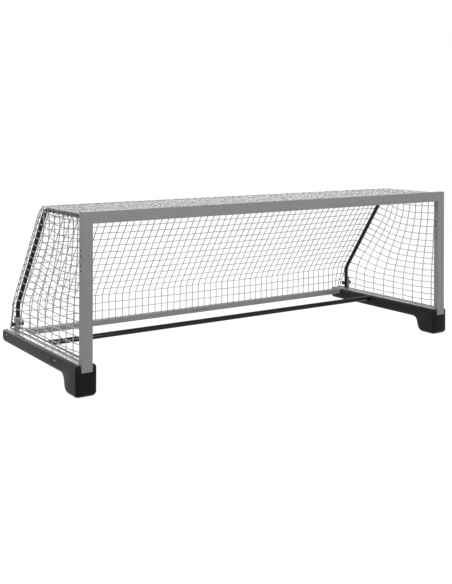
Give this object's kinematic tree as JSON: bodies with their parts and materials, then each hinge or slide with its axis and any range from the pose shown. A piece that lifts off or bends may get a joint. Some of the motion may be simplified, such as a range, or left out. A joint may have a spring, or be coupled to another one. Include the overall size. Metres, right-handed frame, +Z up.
{
  "type": "water polo goal",
  "caption": "Floating water polo goal: rectangular front frame on side floats, with rails, bent net arms on clamp knobs, base bars and a boxed net.",
  "frame": {"origin": "under the middle of the goal, level with the soles of the floats, halfway from the front faces of the posts to the ends of the floats", "axes": "+X to the right for a player who looks at the goal mouth, +Y from the mouth towards the back of the net, +Z up"},
  "size_m": [3.215, 1.255, 1.13],
  "materials": {
    "grey_coat": "aluminium section with a mid grey satin coat",
    "bright_aluminium": "natural anodised, satin",
    "black_tube": "tube with a black gloss coat",
    "steel": "stainless, satin",
    "float_plastic": "rotationally moulded polyethylene, dark grey",
    "black_plastic": "moulded, satin black",
    "foam": null,
    "net_cord": "white twisted cord"
  },
  "bodies": {
    "frame": {"crossbar": "grey_coat", "post_upper_left": "grey_coat", "post_upper_right": "grey_coat", "post_lower_left": "grey_coat", "post_lower_right": "grey_coat", "post_sleeve_left": "steel", "post_sleeve_right": "steel", "corner_block_left": "bright_aluminium", "corner_block_right": "bright_aluminium", "side_rail_left": "bright_aluminium", "side_rail_right": "bright_aluminium", "rail_end_cap_left": "black_plastic", "rail_end_cap_right": "black_plastic", "float_shell_left": "float_plastic", "float_shell_right": "float_plastic", "foam_core_left": "foam", "foam_core_right": "foam", "float_bolt_front_left": "steel", "float_bolt_front_right": "steel", "float_bolt_rear_left": "steel", "float_bolt_rear_right": "steel", "rear_bar_left": "bright_aluminium", "rear_bar_right": "bright_aluminium", "rear_bar_sleeve": "steel", "rear_bar_insert_left": "bright_aluminium", "rear_bar_insert_right": "bright_aluminium", "lower_tube": "black_tube", "lower_tube_insert_left": "black_plastic", "lower_tube_insert_right": "black_plastic", "net_arm_left": "black_tube", "net_arm_right": "black_tube", "arm_socket_left": "bright_aluminium", "arm_socket_right": "bright_aluminium", "arm_plug_left": "black_plastic", "arm_plug_right": "black_plastic", "bracket_left": "bright_aluminium", "bracket_right": "bright_aluminium", "tube_saddle_left": "black_plastic", "tube_saddle_right": "black_plastic", "net_top": "net_cord", "net_back_upper": "net_cord", "net_back_lower": "net_cord", "net_side_left": "net_cord", "net_side_right": "net_cord", "hem_cord_crossbar": "net_cord", "hem_cord_post_left": "net_cord", "hem_cord_post_right": "net_cord", "hem_cord_rail_left": "net_cord", "hem_cord_rail_right": "net_cord"},
    "clamp_screw_left": {"knob_outer_left": "black_plastic", "clamp_bolt_left": "steel"},
    "clamp_screw_right": {"knob_outer_right": "black_plastic", "clamp_bolt_right": "steel"},
    "clamp_nut_left": {"knob_inner_left": "black_plastic"},
    "clamp_nut_right": {"knob_inner_right": "black_plastic"}
  },
  "joints": [
    {"name": "screw_turn_left", "type": "hinge", "parent": "frame", "child": "clamp_screw_left", "pos_m": [-1.54, 0.4995, 0.248], "axis": [-1, 0, 0], "continuous": true},
    {"name": "screw_turn_right", "type": "hinge", "parent": "frame", "child": "clamp_screw_right", "pos_m": [1.54, 0.4995, 0.248], "axis": [1, 0, 0], "continuous": true},
    {"name": "nut_turn_left", "type": "hinge", "parent": "frame", "child": "clamp_nut_left", "pos_m": [-1.54, 0.4995, 0.248], "axis": [-1, 0, 0], "continuous": true},
    {"name": "nut_turn_right", "type": "hinge", "parent": "frame", "child": "clamp_nut_right", "pos_m": [1.54, 0.4995, 0.248], "axis": [1, 0, 0], "continuous": true}
  ]
}
